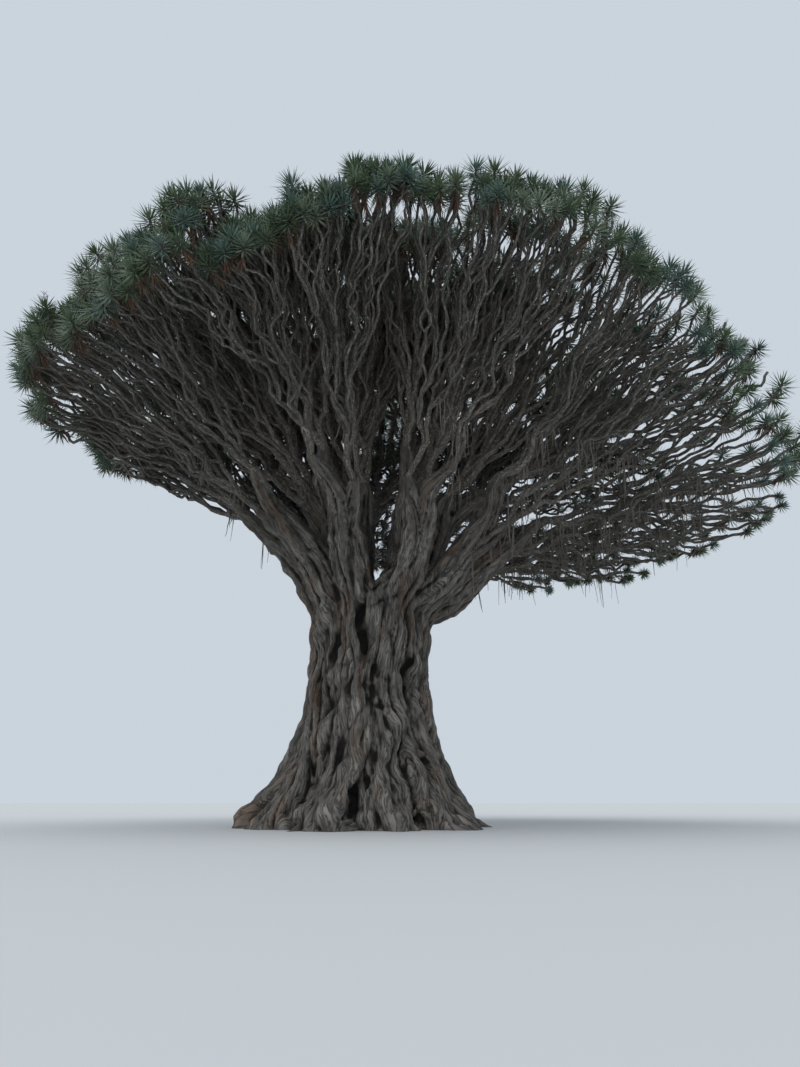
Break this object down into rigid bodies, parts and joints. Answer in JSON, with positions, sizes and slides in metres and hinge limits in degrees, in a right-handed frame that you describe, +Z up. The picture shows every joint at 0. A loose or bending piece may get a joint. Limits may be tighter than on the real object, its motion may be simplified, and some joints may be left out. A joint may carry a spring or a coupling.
{
  "type": "dragon tree",
  "caption": "Very old dragon tree with a massive fluted trunk of fused columns, snaking boughs and an umbrella crown of sword-leaved rosettes.",
  "frame": {"origin": "middle of the flat cut under the trunk, at ground level", "axes": "+Z up the trunk; -Y towards the side that the picture shows; +X to its right"},
  "size_m": [21.9275, 19.416, 15.5755],
  "materials": {
    "trunk_bark": "rough grey-brown bark in fused upright ropes, with rust-brown streaks",
    "limb_bark": "matte grey-brown bark with fine leaf scars and cracks",
    "foliage": "stiff blue-green sword leaves, satin"
  },
  "bodies": {
    "root": {"trunk": "trunk_bark", "rim_bough_01": "limb_bark", "rim_bough_02": "limb_bark", "rim_bough_03": "limb_bark", "rim_bough_04": "limb_bark", "rim_bough_05": "limb_bark", "rim_bough_06": "limb_bark", "rim_bough_07": "limb_bark", "rim_bough_08": "limb_bark", "rim_bough_09": "limb_bark", "rim_bough_10": "limb_bark", "middle_bough_11": "limb_bark", "middle_bough_12": "limb_bark", "middle_bough_13": "limb_bark", "middle_bough_14": "limb_bark", "middle_bough_15": "limb_bark", "middle_bough_16": "limb_bark", "top_bough_17": "limb_bark", "top_bough_18": "limb_bark", "rim_foliage_01a": "foliage", "rim_foliage_01b": "foliage", "rim_foliage_02a": "foliage", "rim_foliage_02b": "foliage", "rim_foliage_03a": "foliage", "rim_foliage_03b": "foliage", "rim_foliage_04a": "foliage", "rim_foliage_04b": "foliage", "rim_foliage_05a": "foliage", "rim_foliage_05b": "foliage", "rim_foliage_06a": "foliage", "rim_foliage_06b": "foliage", "rim_foliage_07a": "foliage", "rim_foliage_07b": "foliage", "rim_foliage_08a": "foliage", "rim_foliage_08b": "foliage", "rim_foliage_09a": "foliage", "rim_foliage_09b": "foliage", "rim_foliage_10a": "foliage", "rim_foliage_10b": "foliage", "middle_foliage_11a": "foliage", "middle_foliage_11b": "foliage", "middle_foliage_12a": "foliage", "middle_foliage_12b": "foliage", "middle_foliage_13a": "foliage", "middle_foliage_13b": "foliage", "middle_foliage_14a": "foliage", "middle_foliage_14b": "foliage", "middle_foliage_15a": "foliage", "middle_foliage_15b": "foliage", "middle_foliage_16a": "foliage", "middle_foliage_16b": "foliage", "top_foliage_17a": "foliage", "top_foliage_17b": "foliage", "top_foliage_18a": "foliage", "top_foliage_18b": "foliage"}
  },
  "joints": []
}
